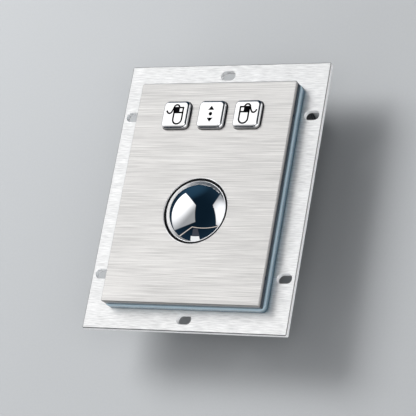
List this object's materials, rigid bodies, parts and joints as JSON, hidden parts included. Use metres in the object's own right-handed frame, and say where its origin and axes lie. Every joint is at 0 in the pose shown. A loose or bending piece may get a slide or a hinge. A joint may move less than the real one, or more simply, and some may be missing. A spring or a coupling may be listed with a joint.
{
  "type": "trackball mouse",
  "caption": "Panel-mount trackball mouse: brushed flange with slotted mounting holes, raised brushed plate, mirror ball, metal keys, and an opto-mechanical ball housing behind.",
  "frame": {"origin": "centre of the mounting flange's front face, which is also the centre of its slot pattern", "axes": "+Z out of the ball side, +Y towards the keys, +X to the right seen from the ball side"},
  "size_m": [0.11, 0.14, 0.05],
  "materials": {
    "flange_metal": "coarse brushed, natural",
    "plate_steel": "fine horizontal brushing",
    "gasket_rubber": "matt blue-grey silicone",
    "frame_plastic": "dark satin moulding",
    "key_metal": "satin faces, polished rounded edges",
    "ball_steel": "mirror polish",
    "core_resin": "plain",
    "zinc_steel": "zinc plated",
    "turned_steel": "ground and turned",
    "spring_steel": "drawn wire",
    "bush_bronze": "sintered bronze",
    "guide_plastic": "natural acetal",
    "wiper_plastic": "black, low friction",
    "seal_rubber": "black elastomer",
    "housing_plastic": "black, fine spark-eroded grain",
    "circuit_board": "green solder mask",
    "spacer_brass": "turned brass",
    "switch_plastic": "black moulding",
    "package_black": "moulded package",
    "component_metal": "drawn cans",
    "connector_nylon": "natural nylon",
    "wheel_plastic": "black moulding",
    "wire_insulation": "coloured insulation",
    "cable_jacket": "black satin jacket",
    "plug_metal": "nickel plated",
    "tongue_plastic": "white insulator",
    "tie_nylon": "black nylon"
  },
  "bodies": {
    "base": {"mounting_flange": "flange_metal", "front_plate": "plate_steel", "island_gasket": "gasket_rubber", "island_frame": "frame_plastic", "front_plate_studs": "zinc_steel", "stud_washers": "zinc_steel", "stud_nuts": "zinc_steel", "key_guide_screws": "zinc_steel", "key_pcb_screws": "zinc_steel", "housing_screws": "zinc_steel", "bottom_cover_screws": "zinc_steel", "key_spring_left": "spring_steel", "key_spring_scroll": "spring_steel", "key_spring_right": "spring_steel", "idler_spring": "spring_steel", "x_bearings": "bush_bronze", "y_bearings": "bush_bronze", "key_guide": "guide_plastic", "ball_wiper": "wiper_plastic", "key_seals": "seal_rubber", "strain_relief": "seal_rubber", "ball_housing": "housing_plastic", "bottom_cover": "housing_plastic", "key_pcb": "circuit_board", "main_pcb": "circuit_board", "key_pcb_spacers": "spacer_brass", "switch_bodies": "switch_plastic", "controller_chip": "package_black", "x_optocoupler": "package_black", "y_optocoupler": "package_black", "pcb_components": "component_metal", "key_connector": "connector_nylon", "main_connectors": "connector_nylon", "harness_plugs": "connector_nylon", "cable_wires": "connector_nylon", "harness_wires": "wire_insulation", "cable": "cable_jacket", "usb_plug_body": "cable_jacket", "usb_plug_shell": "plug_metal", "usb_plug_tongue": "tongue_plastic", "cable_ties": "tie_nylon"},
    "ball_core": {"ball_core": "core_resin"},
    "ball_shell": {"ball_shell": "ball_steel"},
    "x_roller": {"x_shaft": "turned_steel", "x_code_wheel": "wheel_plastic"},
    "y_roller": {"y_shaft": "turned_steel", "y_code_wheel": "wheel_plastic"},
    "idler_carriage": {"idler_carriage": "guide_plastic", "idler_pin": "turned_steel"},
    "idler_bearing": {"idler_bearing": "turned_steel"},
    "key_left": {"key_left": "key_metal"},
    "key_scroll": {"key_scroll": "key_metal"},
    "key_right": {"key_right": "key_metal"},
    "plunger_left": {"switch_plunger_left": "switch_plastic"},
    "plunger_scroll": {"switch_plunger_scroll": "switch_plastic"},
    "plunger_right": {"switch_plunger_right": "switch_plastic"}
  },
  "joints": [
    {"name": "ball_roll_x", "type": "hinge", "parent": "base", "child": "ball_core", "pos_m": [0, -0.0113, -0.002], "axis": [1, 0, 0], "continuous": true},
    {"name": "ball_roll_y", "type": "hinge", "parent": "ball_core", "child": "ball_shell", "pos_m": [0, -0.0113, -0.002], "axis": [0, 1, 0], "continuous": true},
    {"name": "x_roller_spin", "type": "hinge", "parent": "base", "child": "x_roller", "pos_m": [0.01687, -0.0113, -0.01615], "axis": [0, 1, 0], "continuous": true},
    {"name": "y_roller_spin", "type": "hinge", "parent": "base", "child": "y_roller", "pos_m": [0, 0.00557, -0.01615], "axis": [1, 0, 0], "continuous": true},
    {"name": "idler_slide", "type": "slide", "parent": "base", "child": "idler_carriage", "axis": [-0.7071, -0.7071, 0], "range_m": [0, 0.0008], "stiffness_N_per_m": 400, "springref_m": -0.0025, "deforming": ["idler_spring"]},
    {"name": "idler_spin", "type": "hinge", "parent": "idler_carriage", "child": "idler_bearing", "pos_m": [-0.01247, -0.02377, -0.0168], "axis": [0.7071, -0.7071, 0], "continuous": true},
    {"name": "key_left_press", "type": "slide", "parent": "base", "child": "key_left", "axis": [0, 0, -1], "range_m": [0, 0.001], "stiffness_N_per_m": 400, "springref_m": -0.002, "deforming": ["key_spring_left"]},
    {"name": "plunger_left_travel", "type": "slide", "parent": "base", "child": "plunger_left", "axis": [0, 0, -1], "range_m": [0, 0.001]},
    {"name": "key_scroll_press", "type": "slide", "parent": "base", "child": "key_scroll", "axis": [0, 0, -1], "range_m": [0, 0.001], "stiffness_N_per_m": 400, "springref_m": -0.002, "deforming": ["key_spring_scroll"]},
    {"name": "plunger_scroll_travel", "type": "slide", "parent": "base", "child": "plunger_scroll", "axis": [0, 0, -1], "range_m": [0, 0.001]},
    {"name": "key_right_press", "type": "slide", "parent": "base", "child": "key_right", "axis": [0, 0, -1], "range_m": [0, 0.001], "stiffness_N_per_m": 400, "springref_m": -0.002, "deforming": ["key_spring_right"]},
    {"name": "plunger_right_travel", "type": "slide", "parent": "base", "child": "plunger_right", "axis": [0, 0, -1], "range_m": [0, 0.001]}
  ],
  "couplings": [
    {"joint": "x_roller_spin", "follows": "ball_roll_y", "ratio": -6.3333},
    {"joint": "y_roller_spin", "follows": "ball_roll_x", "ratio": -6.3333},
    {"joint": "idler_spin", "follows": "ball_roll_x", "ratio": -3.3588},
    {"joint": "plunger_left_travel", "follows": "key_left_press", "ratio": 1},
    {"joint": "plunger_scroll_travel", "follows": "key_scroll_press", "ratio": 1},
    {"joint": "plunger_right_travel", "follows": "key_right_press", "ratio": 1}
  ]
}
